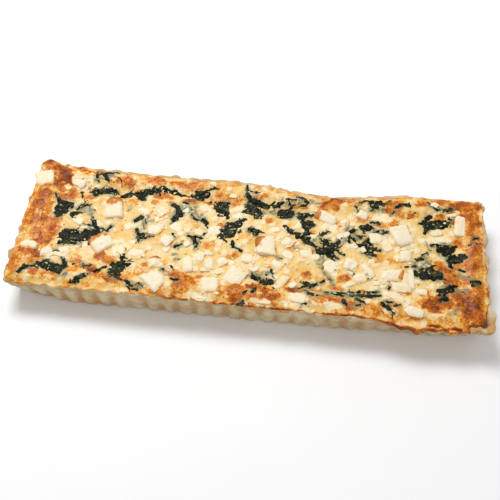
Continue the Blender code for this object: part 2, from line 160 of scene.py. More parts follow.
# Leaves and shreds of spinach: from one place to another, and the width at each.
SPINACH = [
    # left end
    (-124, 49, -112, 52, 3, 1), (-127, 47, -125, 41, 3, 1), (-121, 47, -117, 42, 4, 1),
    (-130, 31, -120, 33, 2, 4), (-124, 30, -118, 34, 5, 5), (-118, 32, -113, 35, 4, 4),
    (-113, 36, -107, 32, 3, 3), (-136, 30, -134, 26, 2, 1), (-104, 30, -98, 33, 4, 5),
    (-99, 34, -86, 33, 3, 3), (-88, 35, -80, 37, 5, 5), (-82, 36, -72, 40, 5, 3), (-76, 39, -64, 38, 3, 3),
    (-64, 37, -52, 35, 2, 1), (-89, 31, -85, 28, 5, 2), (-156, 26, -151, 19, 1, 4),
    (-150, 19, -140, 19, 4, 2), (-150, 14, -142, 17, 8, 7), (-149, 8, -146, 12, 6, 7),
    (-154, 9, -149, 11, 1, 4), (-133, 18, -127, 18, 2, 1), (-136, 14, -132, 18, 2, 3),
    (-138, 10, -134, 11, 4, 3), (-138, 8, -136, 6, 3, 2), (-122, 7, -119, 2, 2, 3),
    (-142, -9, -136, -13, 5, 9), (-140, -17, -137, -13, 5, 7), (-139, -6, -132, -6, 4, 3),
    (-134, -8, -124, -8, 6, 5), (-130, -12, -121, -12, 5, 4), (-124, -8, -120, -15, 3, 2),
    (-134, -16, -130, -17, 3, 2), (-131, 2, -118, 0, 1, 2), (-118, -1, -108, -3, 3, 2),
    (-124, -5, -114, -4, 4, 5), (-120, -7, -116, -6, 3, 2), (-109, -3, -106, 1, 2, 2),
    (-145, -24, -141, -25, 1, 2), (-154, -36, -149, -37, 3, 4), (-150, -34, -146, -33, 2, 1),
    (-149, -38, -136, -42, 5, 5), (-144, -36, -134, -38, 4, 4), (-134, -40, -133, -34, 3, 3),
    (-164, -46, -159, -40, 2, 3), (-161, -40, -155, -39, 3, 2), (-126, -50, -120, -49, 2, 3),
    (-121, -47, -114, -42, 3, 2), (-120, -33, -119, -34, 2, 1), (-118, -35, -115, -34, 1, 2),
    (-111, -39, -107, -37, 2, 4), (-107, -35, -104, -33, 3, 3), (-92, -23, -91, -30, 4, 4),
    (-94, -30, -85, -30, 4, 2), (-99, -31, -94, -34, 3, 6), (-98, -37, -92, -34, 6, 7),
    (-97, -41, -92, -39, 4, 5), (-94, -43, -88, -44, 2, 1), (-101, -39, -98, -38, 1, 3),
    (-127, -34, -126, -34, 2, 2), (-137, -30, -134, -33, 2, 2),
    # left of the middle
    (-86, -44, -80, -48, 2, 2), (-80, -50, -76, -50, 2, 2), (-76, -45, -73, -47, 1, 1),
    (-89, 8, -85, 12, 3, 3), (-86, 0, -84, -5, 3, 4), (-84, -5, -83, -10, 4, 2), (-81, -3, -74, -5, 2, 1),
    (-83, -8, -78, -6, 3, 2), (-49, 36, -42, 35, 4, 6), (-46, 38, -38, 38, 4, 5), (-40, 40, -32, 44, 3, 2),
    (-35, 32, -20, 32, 1, 2), (-29, 30, -22, 28, 4, 6), (-29, 26, -22, 24, 5, 6), (-22, 22, -20, 19, 3, 2),
    (-27, 20, -24, 20, 1, 1), (-31, 30, -29, 25, 1, 2), (-63, 26, -57, 22, 3, 2), (-59, 25, -58, 18, 2, 4),
    (-60, 16, -55, 17, 3, 4), (-61, 12, -59, 14, 3, 4), (-61, 9, -60, 11, 2, 2), (-55, 29, -51, 28, 2, 1),
    (-47, 17, -42, 14, 1, 2), (-38, 15, -35, 12, 4, 3), (-59, 0, -57, -3, 1, 2), (-47, -1, -36, -1, 2, 2),
    (-43, -2, -41, -6, 4, 3), (-41, -6, -39, -11, 2, 2), (-42, -7, -38, -5, 1, 1), (-36, 1, -35, 3, 1, 1),
    (-55, -10, -51, -8, 2, 1), (-55, -11, -53, -12, 2, 1), (-56, -28, -55, -29, 2, 1),
    (-54, -39, -49, -40, 1, 2), (-19, 13, -10, 15, 4, 5), (-18, 11, -11, 13, 5, 5), (-10, 16, -6, 19, 3, 2),
    (-24, 8, -14, 6, 3, 6), (-22, 2, -14, 4, 6, 5), (-17, 4, -9, 8, 3, 3), (-21, 0, -18, -2, 3, 2),
    (-14, 0, -12, -6, 2, 2), (-12, -6, -6, -9, 2, 1), (-8, 50, -7, 40, 1, 2), (-7, 41, -3, 37, 2, 5),
    (-4, 36, 10, 33, 6, 4), (-5, 31, -1, 27, 7, 7), (0, 30, 4, 24, 7, 6), (-8, 26, -3, 26, 2, 4),
    (3, 22, 6, 21, 4, 2), (-4, 44, 2, 44, 2, 1),
    # right of the middle
    (-2, 9, 7, 9, 4, 2), (0, 11, 3, 6, 3, 4), (0, -45, 2, -43, 2, 1), (6, -43, 8, -40, 3, 2),
    (-3, -53, 0, -52, 2, 2), (13, 34, 18, 34, 1, 2), (18, 36, 22, 37, 2, 2), (15, 33, 18, 35, 3, 2),
    (27, 32, 29, 35, 2, 1), (25, 39, 28, 34, 1, 1), (21, 28, 27, 28, 8, 8), (23, 40, 31, 40, 1, 1),
    (31, 43, 37, 42, 2, 3), (37, 41, 40, 38, 3, 3), (33, 34, 39, 36, 1, 1), (32, 29, 42, 28, 2, 3),
    (34, 26, 40, 27, 4, 4), (37, 22, 44, 20, 5, 5), (37, 24, 41, 14, 5, 4), (41, 15, 46, 20, 3, 2),
    (43, 26, 45, 29, 1, 1), (24, 16, 28, 13, 2, 4), (28, 12, 34, 9, 3, 4), (34, 10, 42, 11, 3, 3),
    (34, 8, 42, 6, 3, 5), (40, 5, 47, 1, 5, 3), (47, 1, 52, -4, 2, 3), (51, -3, 58, -5, 5, 5),
    (54, -1, 60, -3, 5, 4), (60, -1, 64, 0, 3, 2), (60, -3, 62, -10, 3, 2), (63, -6, 66, -8, 2, 1),
    (64, -1, 70, -4, 2, 2), (52, 11, 57, 14, 2, 2), (52, 6, 56, 5, 4, 5), (56, 4, 62, 2, 4, 4),
    (61, 2, 66, 2, 2, 2), (64, 4, 68, 12, 3, 1), (22, -13, 24, -13, 2, 1), (18, -24, 19, -26, 1, 1),
    (74, 16, 77, 18, 2, 3), (75, 12, 78, 9, 2, 2), (79, 14, 82, 13, 1, 2), (73, 8, 77, 4, 2, 1),
    (77, 5, 86, 6, 2, 3), (84, 8, 88, 12, 2, 3), (88, 8, 91, 5, 2, 3), (73, 10, 73, 13, 1, 1),
    (82, 21, 88, 21, 4, 5), (84, 17, 86, 23, 3, 3), (86, 24, 88, 22, 1, 1), (86, 3, 96, 3, 4, 2),
    (86, 0, 92, -2, 3, 3), (88, 5, 93, 4, 3, 3), (89, 27, 95, 26, 2, 2), (79, 42, 84, 45, 2, 3),
    (84, 45, 92, 43, 3, 5), (90, 45, 98, 43, 3, 4), (89, 41, 94, 39, 3, 2), (98, 43, 103, 47, 2, 1),
    (77, 38, 79, 35, 2, 1), (3, -26, 6, -30, 1, 2), (5, -30, 12, -32, 3, 4), (11, -33, 19, -33, 4, 4),
    (18, -36, 21, -38, 1, 2), (12, -38, 14, -38, 1, 1), (38, -36, 42, -34, 1, 3), (41, -30, 46, -33, 3, 5),
    (46, -33, 52, -31, 3, 2), (52, -31, 56, -28, 2, 1), (43, -37, 46, -39, 2, 2), (46, -40, 53, -41, 3, 2),
    (55, -36, 64, -38, 1, 1), (66, -37, 70, -39, 2, 2), (70, -36, 76, -38, 1, 2), (75, -35, 82, -34, 2, 2),
    (78, -37, 90, -37, 3, 3), (80, -40, 84, -43, 3, 2), (86, -34, 96, -33, 2, 1), (88, -37, 97, -36, 3, 1),
    (71, -44, 73, -46, 3, 2), (78, -47, 83, -45, 1, 1), (42, -49, 46, -48, 2, 1),
    (104, -26, 103, -30, 1, 1), (83, -24, 88, -23, 1, 1),
    # right end
    (111, 44, 118, 45, 2, 3), (107, 41, 111, 43, 1, 2), (117, 34, 122, 39, 1, 1), (104, 36, 108, 38, 1, 1),
    (132, 48, 139, 42, 2, 2), (139, 42, 149, 44, 2, 3), (131, 35, 134, 37, 2, 3), (130, 31, 146, 32, 5, 6),
    (131, 27, 136, 28, 5, 5), (129, 21, 133, 27, 2, 4), (141, 28, 147, 30, 4, 3), (143, 33, 149, 36, 2, 2),
    (125, 30, 131, 30, 1, 3), (92, 18, 98, 21, 2, 2), (97, 17, 101, 19, 2, 2), (134, 11, 152, 12, 2, 3),
    (140, 8, 148, 9, 5, 6), (143, 5, 150, 4, 3, 5), (148, 2, 157, 4, 5, 5), (150, -1, 155, 0, 3, 2),
    (146, -1, 148, -6, 3, 3), (155, 4, 158, 2, 3, 1), (120, -3, 126, -2, 3, 3), (127, 2, 131, 4, 2, 1),
    (121, -14, 128, -16, 5, 6), (127, -12, 134, -10, 5, 4), (130, -16, 139, -16, 5, 5),
    (134, -12, 140, -13, 4, 3), (119, -9, 122, -8, 1, 2), (112, -10, 117, -9, 1, 1),
    (161, -18, 167, -18, 3, 2), (162, -21, 165, -20, 3, 2), (139, -27, 147, -26, 4, 5),
    (144, -24, 151, -22, 3, 2), (138, -29, 142, -30, 2, 1), (139, -34, 143, -33, 3, 3),
    (98, -43, 102, -47, 2, 3), (101, -44, 106, -49, 2, 2), (97, -48, 99, -50, 2, 1),
    (101, -41, 105, -41, 2, 1), (106, -44, 111, -42, 1, 1), (165, 19, 169, 20, 2, 2),
    (167, 15, 169, 15, 2, 1), (161, 13, 163, 13, 1, 1), (154, -7, 158, -9, 1, 1),
]

# Spinach that shows through the custard: the same, but under the surface.
VEILED = [
    (-125, 44, -117, 49, 9, 8), (-112, 30, -116, 34, 6, 5), (-128, -16, -122, -14, 5, 3),
    (-133, 14, -129, 19, 5, 3), (-135, -45, -130, -44, 4, 4), (-84, -46, -76, -48, 6, 5),
    (-81, 12, -82, 2, 4, 4), (-80, 9, -76, 10, 3, 2), (-50, 26, -45, 26, 4, 4), (-51, 22, -45, 19, 6, 6),
    # The first strand on the next line, at (-129, 14), darkens the custard between the leaves: partly spinach
    # showing through, partly painted shade.
    (-129, 14, -124, 12, 8, 6), (-56, 20, -50, 24, 5, 5), (-40, 17, -36, 12, 6, 5),
    (56, -12, 62, -18, 5, 5), (66, 6, 72, 10, 5, 5), (-56, -18, -53, -17, 2, 2), (-53, -22, -51, -21, 3, 2),
    (-63, -31, -57, -34, 2, 3), (-60, 14, -56, 24, 8, 8), (-88, 9, -84, 11, 5, 5), (-83, -6, -77, -4, 8, 6),
    (-41, -3, -40, -8, 8, 5), (-53, -10, -51, -9, 5, 4), (19, 31, 20, 41, 2, 2), (24, 36, 28, 40, 4, 3),
    (31, 38, 38, 38, 6, 5), (8, 28, 15, 28, 5, 5), (43, 40, 49, 39, 4, 3), (53, -8, 57, -22, 5, 3),
    (50, -9, 52, -16, 4, 3), (60, -24, 63, -30, 4, 3), (33, -3, 38, -3, 2, 1), (74, -17, 80, -24, 3, 1),
    (73, 18, 80, 12, 7, 6), (84, -1, 92, -3, 5, 4), (60, -38, 95, -37, 5, 5), (5, -29, 16, -32, 6, 5),
    (56, -38, 62, -36, 3, 3), (88, 38, 97, 38, 4, 4), (92, 19, 101, 18, 5, 4), (128, 0, 132, -4, 5, 4),
    (124, -8, 138, -18, 9, 6), (150, -26, 158, -25, 4, 3), (146, -46, 151, -41, 3, 3),
    (154, -12, 164, -16, 4, 3), (142, 4, 150, 2, 6, 6), (100, -42, 103, -46, 6, 5),
    (134, 46, 142, 43, 5, 3), (-160, -42, -156, -38, 5, 5), (-120, -34, -115, -34, 4, 3),
    (-150, -23, -142, -24, 3, 3), (85, 12, 92, 8, 5, 4), (130, 13, 133, 5, 1, 1), (-95, 20, -96, 18, 3, 2),
    (12, -27, 18, -26, 4, 3), (-36, 2, -34, 4, 3, 2), (47, 5, 51, 9, 3, 3),
]

# Numbers of the chunks with a toasted side: which side, as a turn, and how toasted.
TOASTED = {
    1: (-30, 0.25), 2: (60, 0.3), 3: (115, 0.75), 4: (125, 0.8), 12: (90, 0.9), 13: (110, 0.35),
    21: (150, 0.8), 22: (80, 0.5), 26: (165, 0.7), 34: (0, 0.6), 35: (-90, 0.6), 36: (-90, 0.35),
    37: (0, 0.7), 38: (165, 0.6),
}

# Numbers of the chunks that melted out of shape.
MELTED = (2, 6, 22, 27, 29)

# Smaller and sunken chunks: place, length, width, turn, and how far they stand out of the custard.
FETA_BITS = [
    (-95, -18, 13, 11, 20, 0.5), (-140, -27, 12, 4, -10, 0.6), (-62, -14, 7, 5, 30, 0.8),
    (-30, -28, 8, 4, 0, 0.6), (-28, 6, 11, 9, 10, 0.4), (-40, 4, 8, 6, -20, 0.5), (-47, -8, 6, 5, 40, 0.8),
    (-18, 40, 7, 6, 0, 0.2), (-35, 48, 5, 4, 30, 1.0), (28, -9, 10, 6, -20, 0.7), (66, 11, 5, 5, 20, 0.7),
    (76, 4, 8, 5, 0, 0.7), (84, 2, 4, 5, 20, 0.8), (39, -45, 13, 7, -5, 0.9), (61, -15, 14, 11, -30, 0.4),
    (75, -28, 7, 4, 30, 0.7), (119, -19, 21, 4, 92, 0.8), (108, -36, 14, 6, -25, 0.8),
    (94, -26, 5, 4, 0, 0.8), (141, 16, 9, 4, 5, 0.8), (137, 46, 6, 5, -30, 0.7), (93, 13, 10, 9, 10, 0.4),
    (-137, -23, 8, 5, 20, 0.4), (-124, -17, 10, 7, 10, 0.3), (-92, 4, 10, 8, 30, 0.3),
    (-57, 6, 8, 10, 60, 0.4), (-52, 22, 6, 5, 10, 0.5), (-38, 26, 9, 7, 40, 0.4), (-13, 22, 9, 7, 0, 0.4),
    (17, 12, 8, 5, 20, 0.4), (48, -9, 8, 5, 0, 0.5), (34, -33, 7, 5, 60, 0.5), (5, -23, 7, 6, 30, 0.4),
    (58, 19, 12, 8, -10, 0.4), (70, 14, 7, 6, 0, 0.5), (101, 6, 8, 8, 30, 0.3), (138, 22, 9, 6, 20, 0.4),
    (127, 15, 7, 6, 60, 0.3), (-100, 12, 7, 6, 0, 0.3), (-133, 4, 9, 6, -20, 0.3), (149, 39, 9, 3, 12, 1.0),
    (-146, -28, 6, 4, 30, 0.8), (-31, -14, 5, 4, 0, 0.6), (-20, -29, 6, 4, 20, 0.5),
    (-12, -21, 5, 4, 50, 0.5), (14, -50, 12, 3, 0, 0.3), (-30, -51, 10, 4, 0, 0.3),
    (31, -50, 6, 3, 80, 0.4), (146, 31, 5, 4, 0, 0.6), (90, -8, 5, 4, 20, 0.6), (99, -27, 6, 4, 60, 0.5),
    (-118, 3, 7, 6, 10, 0.3), (-72, 12, 8, 5, 20, 0.4),
]


# Noise

WORD = 0xFFFFFFFF
AXIS_FACTORS = (0x9E3779B1, 0x85EBCA77, 0xC2B2AE3D)
MIXING_FACTOR = 0x2C1B3C6D


def lattice(cell, seed):
    """A number from -1 to 1 for each cell of an integer grid."""
    mixed = np.full(cell.shape[:-1], (seed * 7919 + 17) & WORD, np.uint32)
    for axis, factor in zip(range(cell.shape[-1]), AXIS_FACTORS):
        mixed ^= (cell[..., axis] & WORD).astype(np.uint32) * np.uint32(factor)
        mixed = (mixed ^ (mixed >> np.uint32(15))) * np.uint32(MIXING_FACTOR)
        mixed ^= mixed >> np.uint32(13)
    return mixed / 2.0**31 - 1


def noise(points, size, seed):
    """Smooth noise from -1 to 1 at an array of points, with bumps about size mm apart."""
    scaled = points / size
    cell = np.floor(scaled).astype(np.int64)
    part = scaled - cell
    part = part * part * (3 - 2 * part)
    total = 0
    for corner in itertools.product((0, 1), repeat=points.shape[-1]):
        weight = np.prod(np.where(corner, part, 1 - part), axis=-1)
        total = total + weight * lattice(cell + np.array(corner), seed)
    return total


def fractal(points, size, seed):
    """Noise with two finer and weaker layers on it."""
    return sum(noise(points, size / 2**layer, seed + 31 * layer) / 2**layer for layer in range(3))


def cells(points, pitch, seed):
    """With one stray centre in each square: (pitches to the nearest, that centre's number from 0 to 1)."""
    scaled = points / pitch
    home = np.floor(scaled).astype(np.int64)
    nearest = np.full(len(points), 9.0)
    number = np.zeros(len(points))
    for step in itertools.product((-1, 0, 1), repeat=2):
        square = home + np.array(step)
        stray = np.stack([lattice(square, seed), lattice(square, seed + 1)], axis=-1)
        centre = square + 0.5 + 0.42 * stray
        away = np.linalg.norm(scaled - centre, axis=-1)
        closer = away < nearest
        nearest = np.where(closer, away, nearest)
        number = np.where(closer, lattice(square, seed + 2) / 2 + 0.5, number)
    return nearest, number


def bell(distance):
    """1 at no distance, falling off smoothly to 0."""
    return np.exp(-distance * distance)


def smooth(value, low, high):
    """0 below low, 1 above high and an S between."""
    share = np.clip((value - low) / (high - low), 0, 1)
    return share * share * (3 - 2 * share)


def unit(turn):
    """The direction of a turn, as (x, y)."""
    return math.cos(math.radians(turn)), math.sin(math.radians(turn))


# Plan of the quiche


def shaped(x, y, up=1.0):
    """A point of the regular plan, moved by the slump and the lean of the long sides that far up the wall."""
    share = (y / HALF_Y) ** 2 * up
    slump = SLUMP * bell((x - SLUMP_AT) / SLUMP_REACH)
    lean = LEAN * x / HALF_X
    return x, y - share * np.where(y > 0, slump, lean)


def far_side(x):
    return shaped(x, HALF_Y + 0 * x)[1]


def near_side(x):
    return shaped(x, -HALF_Y + 0 * x)[1]


def rim_height(x, y):
    return RIM + RIM_WAVE * np.sin(x / 23 + y / 31)


def edge_room(p):
    """How far inside the rim's outline each point is."""
    x, y = p.T
    along = HALF_X - np.abs(x)
    across = np.minimum(far_side(x) - y, y - near_side(x))
    round_corner = CORNER_RADIUS - np.hypot(CORNER_RADIUS - along, CORNER_RADIUS - across)
    in_corner = (along < CORNER_RADIUS) & (across < CORNER_RADIUS)
    return np.where(in_corner, round_corner, np.minimum(along, across))


def custard_gap(p):
    """How far inside the custard's edge each point is, leaving out the edge's small waves."""
    x, y = p.T
    far = far_side(x) - y - far_inset(x)
    near = y - near_side(x) - near_inset(x)
    return np.minimum.reduce([far, near, x + HALF_X - INSET_LEFT, HALF_X - INSET_RIGHT - x])


def far_inset(x):
    """The pastry's rim shows along the middle of the far side and is buried at both ends."""
    return 0.9 + (INSET_FAR - 0.9) * smooth(x, -138.0, -126.0) * smooth(x, 118.0, 100.0)


def near_inset(x):
    """The custard stops inside the near rim, runs over it near the +x end and leaves the last corner bare."""
    return INSET_NEAR - 2.3 * smooth(x, 92.0, 112.0) + 5.5 * smooth(x, 162.0, 168.0)


def lumps(p):
    """Height of the corner's round lump and depth of the notch."""
    height = 0
    for x, y, length, width, rise in (LUMP, NOTCH):
        rounds = np.hypot((p[:, 0] - x) / length, (p[:, 1] - y) / width)
        height = height + rise * np.sqrt(np.clip(1 - rounds**2 + 0.12 * noise(p, 3, 77), 0, 1))
    return height


def near_box(p, low_x, high_x, low_y, high_y):
    x, y = p.T
    return np.flatnonzero((x > low_x) & (x < high_x) & (y > low_y) & (y < high_y))


def strand_depth(p, strands, margin=3.0):
    """How deep inside the nearest strand each point is, down to -margin outside them all."""
    depth = np.full(len(p), -margin)
    for x0, y0, x1, y1, width0, width1 in strands:
        reach = max(width0, width1) / 2 + margin
        low_x, high_x = min(x0, x1) - reach, max(x0, x1) + reach
        near = near_box(p, low_x, high_x, min(y0, y1) - reach, max(y0, y1) + reach)
        start, run = np.array((x0, y0)), np.array((x1 - x0, y1 - y0))
        away = p[near] - start
        along = np.clip(away @ run / max(run @ run, 1e-9), 0, 1)
        half_width = (width0 + (width1 - width0) * along) / 2
        inside = half_width - np.linalg.norm(away - along[:, None] * run, axis=1)
        depth[near] = np.maximum(depth[near], inside)
    return depth


def patches(p, rows, outreach, edge, fade, warp):
    """The strongest of the soft, warped ellipses in the rows at each point, from 0 to 1."""
    strongest = np.zeros(len(p))
    for x, y, length, width, percent, *turn in rows:
        reach = outreach * max(length, width)
        near = near_box(p, x - reach, x + reach, y - reach, y + reach)
        away = p[near] - (x, y)
        c, s = unit(sum(turn))
        rounds = np.hypot((away @ (c, s)) / length, (away @ (-s, c)) / width)
        patch = percent / 100 * smooth(edge - rounds + warp[near], 0, fade)
        strongest[near] = np.maximum(strongest[near], patch)
    return strongest


def browning(p):
    """Depth of colour of the baked surface, from 0, pale, to 1, nearly burnt."""
    warp = 0.34 * fractal(p, 7, 11) + 0.2 * fractal(p, 1.8, 12)
    brown = patches(p, BROWNED, 1.6, 1.3, 0.8, warp)
    x = p[:, 0] + 12 * warp
    ends = 0.56 * smooth(x, 146.0, 160.0) + 0.36 * smooth(x, -152.0, -164.0)
    ends = ends - 0.3 * smooth(x, 164.0, 172.0)
    edges = 0.3 * bell((edge_room(p) - 4) / 7) * (1 + warp)
    return np.maximum.reduce([brown, ends, edges])


def melts(p):
    """Where melted cheese covers the custard, from 0 to 1."""
    return patches(p, MELTS, 1.8, 1.15, 0.5, 0.4 * fractal(p, 4, 13) + 0.25 * noise(p, 1.3, 14))


def bed(p):
    """The custard's height as in the CAD: low swells, a puffed roll along the rim, a trough inside it."""
    x, y = p.T
    room = edge_room(p)
    swells = np.sin(x / 21) * np.cos(y / 14) + np.sin(x / 9 + y / 11)
    roll, trough = bell((room - 10) / 7), bell((room - 20) / 5)
    return CUSTARD + ROLL_RISE * roll - TROUGH_DROP * trough + 0.35 * swells


def curds(p):
    """Soft lumps of cheese just under the surface, from 0 to 1."""
    away, number = cells(p + 1.2 * noise(p, 5, 21)[:, None], 6.5, 22)
    small_away, small_number = cells(p, 2.9, 25)
    large = smooth(0.55 - away, 0, 0.3) * smooth(number, 0.3, 0.6)
    small = smooth(0.5 - small_away, 0, 0.3) * smooth(small_number, 0.5, 0.8)
    return np.maximum(large, 0.55 * small)


def freckles(p):
    """Scattered dark specks, some of them tiny holes shown only by painted shade, from 0 to 1."""
    away, number = cells(p, 6, 27)
    return smooth(0.15 - away, 0, 0.08) * (number > 0.82)


def relief(p, brown=None):
    """Height of the custard's surface. It comes down to the pastry's brim at its edge."""
    if brown is None:
        brown = browning(p)
    blisters, number = cells(p, 3.4, 41)
    height = bed(p) + 0.55 * fractal(p, 12, 31) + 0.14 * fractal(p, 3.2, 35)
    height += 0.7 * curds(p) * (1 - smooth(brown, 0.25, 0.5))
    height += 0.5 * smooth(brown, 0.2, 0.7)
    height += 0.35 * smooth(0.5 - blisters, 0, 0.3) * smooth(number, 0.5, 0.9) * smooth(brown, 0.3, 0.6)
    for x, y, reach, _, rise in KNOBS:
        beside = (p - (x, y)) / reach
        height += 0.8 * rise * bell(beside[:, 0]) * bell(beside[:, 1])
    at_edge = smooth(custard_gap(p), 4.5, 0.0)
    brim = rim_height(*p.T) + 0.9 + 0.25 * noise(p, 3, 81)
    return height * (1 - at_edge) + brim * at_edge + lumps(p)


# Meshes


def finished(name, kind, vertices, faces, values, nodes):
    """A mesh piece from millimetres, with a number per vertex for each value, in place of those CAD nodes."""
    mesh = bpy.data.meshes.new(name)
    mesh.from_pydata(np.asarray(vertices) * MM, [], faces)
    for value_name, value in values.items():
        attribute = mesh.attributes.new(value_name, "FLOAT", "POINT")
        attribute.data.foreach_set("value", np.asarray(value, np.float32))
    mesh.shade_smooth()
    mesh.materials.append(MATERIALS[kind])
    made = bpy.data.objects.new(name, mesh)
    bpy.context.scene.collection.objects.link(made)
    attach(made, "root")
    if nodes:
        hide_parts(*nodes)


def strip(lower, upper):
    """Quads between two closed rings of vertex numbers."""
    return np.stack([lower, np.roll(lower, -1), np.roll(upper, -1), upper], axis=1).tolist()


def grid_quads(grid):
    """The four corners of each cell of one grid of vertex numbers, or of several."""
    corners = [grid[..., :-1, :-1], grid[..., 1:, :-1], grid[..., 1:, 1:], grid[..., :-1, 1:]]
    return np.stack(corners, axis=-1).reshape(-1, 4)


# Materials


def colour(red, green, blue):
    """Linear colour from 0-255 values."""
    shares = (red / 255, green / 255, blue / 255)
    return (*(s / 12.92 if s <= 0.04045 else ((s + 0.055) / 1.055) ** 2.4 for s in shares), 1)


CREAM = colour(235, 197, 123)
CURD = colour(241, 224, 184)
VEIL = colour(128, 129, 103)
FETA = colour(241, 226, 196)
FETA_CREAMY = colour(238, 208, 142)
LEAF_DARK = colour(20, 23, 7)
# The paler leaf colour: painted highlight on the leaves' folds, and the pale tone of thin and sunk leaf.
LEAF_PALE_AND_HIGHLIGHT = colour(94, 99, 58)
FLOOR_GREY = colour(249, 249, 249)
FLOOR_WHITE = colour(252, 252, 252)
WHITE = (1, 1, 1, 1)

# Colours from pale to dark, and where on the way each one stands.
BAKING = [
    (0.0, CREAM),
    (0.22, colour(231, 182, 94)),
    (0.41, colour(222, 148, 53)),
    (0.58, colour(197, 109, 29)),
    (0.74, colour(168, 84, 20)),
    (0.96, colour(110, 50, 11)),
]
TOASTING = [(0.0, colour(240, 200, 120)), (0.5, colour(214, 132, 54)), (1.0, colour(150, 68, 22))]
# The 0.3 stop is darker so that the wall's grooves get painted shade there; this stop and the others also
# give the pastry's baked colour.
DOUGH = [
    (0.0, colour(212, 195, 160)),
    (0.3, colour(188, 155, 108)),
    (0.5, colour(198, 144, 82)),
    (0.75, colour(176, 96, 42)),
    (1.0, colour(112, 50, 20)),
]


class Surface:
    """A Principled material under construction."""

    def __init__(self, name):
        self.material = bpy.data.materials.new(name)
        self.material.use_nodes = True
        self.tree = self.material.node_tree
        self.shader = self.tree.nodes["Principled BSDF"]
        self.place = self.tree.nodes.new("ShaderNodeTexCoord").outputs["Object"]

    def feed(self, node, values):
        """Links each input of the node to a socket, or sets it to a constant."""
        for key, value in values.items():
            if isinstance(value, bpy.types.NodeSocket):
                self.tree.links.new(value, node.inputs[key])
            else:
                node.inputs[key].default_value = value

    def node(self, kind, values, output=0, **settings):
        """That output of a new node."""
        made = self.tree.nodes.new(kind)
        for key, setting in settings.items():
            setattr(made, key, setting)
        self.feed(made, values)
        return made.outputs[output]

    def value(self, name):
        return self.node("ShaderNodeAttribute", {}, "Fac", attribute_name=name)

    def grain(self, size, detail, rough=0.55):
        """Noise from 0 to 1 with features of about that many millimetres."""
        place = self.node("ShaderNodeMapping", {"Vector": self.place, "Scale": [1 / (size * MM)] * 3})
        values = {"Vector": place, "Scale": 1.0, "Detail": detail, "Roughness": rough}
        return self.node("ShaderNodeTexNoise", values, "Fac")

    def math(self, operation, a, b, c=0.0):
        return self.node("ShaderNodeMath", {0: a, 1: b, 2: c}, operation=operation)

    def around(self, grain, amount):
        """Noise of 0 to 1 as a number from about -amount to amount."""
        return self.math("MULTIPLY", self.math("SUBTRACT", grain, 0.5), 2 * amount)

    def varied(self, value, amount, size, detail):
        """The value, made up to about that amount more or less by grain of that size."""
        return self.math("ADD", value, self.around(self.grain(size, detail), amount))

    def span(self, value, low, high):
        """0 where the value is low, 1 where it is high and an S between."""
        values = {"Value": value, "From Min": low, "From Max": high}
        return self.node("ShaderNodeMapRange", values, "Result", interpolation_type="SMOOTHSTEP")

    def mix(self, share, a, b):
        return self.node("ShaderNodeMix", {0: share, 6: a, 7: b}, 2, data_type="RGBA")

    def ramp(self, value, stops):
        shade = self.node("ShaderNodeValToRGB", {"Fac": value}, "Color")
        elements = shade.node.color_ramp.elements
        while len(elements) < len(stops):
            elements.new(0.5)
        for element, (position, stop) in zip(elements, stops):
            element.position = position
            element.color = stop
        return shade

    def bump(self, height, depth, strength):
        values = {"Height": height, "Distance": depth * MM, "Strength": strength}
        self.feed(self.shader, {"Normal": self.node("ShaderNodeBump", values, "Normal")})

    def finish(self, base, roughness, soft=0.0, shine=0.5):
        self.feed(self.shader, {"Base Color": base, "Roughness": roughness})
        self.shader.inputs["Subsurface Weight"].default_value = soft
        self.shader.inputs["Subsurface Scale"].default_value = 2 * MM
        self.shader.inputs["Specular IOR Level"].default_value = shine
        return self.material


def custard_material():
    s = Surface("custard")
    # The brown value holds the browning and the painted shadow beside the chunks.
    baked = s.value("brown")
    stir = s.varied(s.around(s.grain(6, 3), 0.32), 0.5, 1.3, 3)
    colouring = s.math("MULTIPLY_ADD", stir, s.span(baked, 0.0, 0.4), baked)
    colouring = s.varied(colouring, 0.7, 8, 3)
    base = s.ramp(colouring, BAKING)
    pale = s.math("MULTIPLY", s.value("curd"), s.span(colouring, 0.4, 0.1))
    base = s.mix(pale, base, CURD)
    veil = s.math("MULTIPLY", s.value("veil"), s.span(s.grain(1.8, 3), 0.2, 0.5))
    base = s.mix(veil, base, VEIL)
    s.bump(s.grain(1.1, 2), 0.16, 0.6)
    return s.finish(base, s.varied(0.4, 0.22, 5, 2), soft=0.12, shine=0.2)


def feta_material():
    s = Surface("feta")
    toast = s.varied(s.value("toast"), 0.16, 2.2, 3)
    creamy = s.varied(s.value("creamy"), 0.3, 4, 2)
    clean = s.mix(s.span(creamy, 0.1, 1.0), FETA, FETA_CREAMY)
    base = s.mix(s.span(toast, 0.1, 0.45), clean, s.ramp(toast, TOASTING))
    s.bump(s.grain(0.8, 3, 0.7), 0.18, 0.5)
    return s.finish(base, s.varied(0.5, 0.15, 3, 2), soft=0.15, shine=0.25)


def spinach_material():
    s = Surface("spinach")
    # The paler colour is painted highlight on the fold crests, and also the own pale tone of thin and sunk
    # leaf.
    pale_and_highlight = s.varied(s.value("pale_and_highlight"), 0.35, 1.4, 3)
    base = s.mix(s.span(pale_and_highlight, 0.25, 1.1), LEAF_DARK, LEAF_PALE_AND_HIGHLIGHT)
    s.bump(s.grain(0.7, 3, 0.6), 0.25, 0.7)
    return s.finish(base, s.varied(0.34, 0.2, 1.5, 2), shine=0.14)


def pastry_material():
    s = Surface("pastry")
    # The bake value holds the baking and the painted shade in the wall's grooves.
    bake_and_groove_shade = s.varied(s.varied(s.value("bake_and_groove_shade"), 0.12, 5, 3), 0.1, 1.1, 3)
    s.bump(s.grain(0.8, 3, 0.65), 0.25, 0.7)
    return s.finish(s.ramp(bake_and_groove_shade, DOUGH), s.varied(0.7, 0.12, 3, 2), soft=0.05, shine=0.3)


def floor_material():
    s = Surface("floor")
    return s.finish(s.mix(s.grain(60, 2), FLOOR_GREY, FLOOR_WHITE), 0.9)


# Pastry case

FLUTE_STEPS = 12
WALL_ROWS = 18


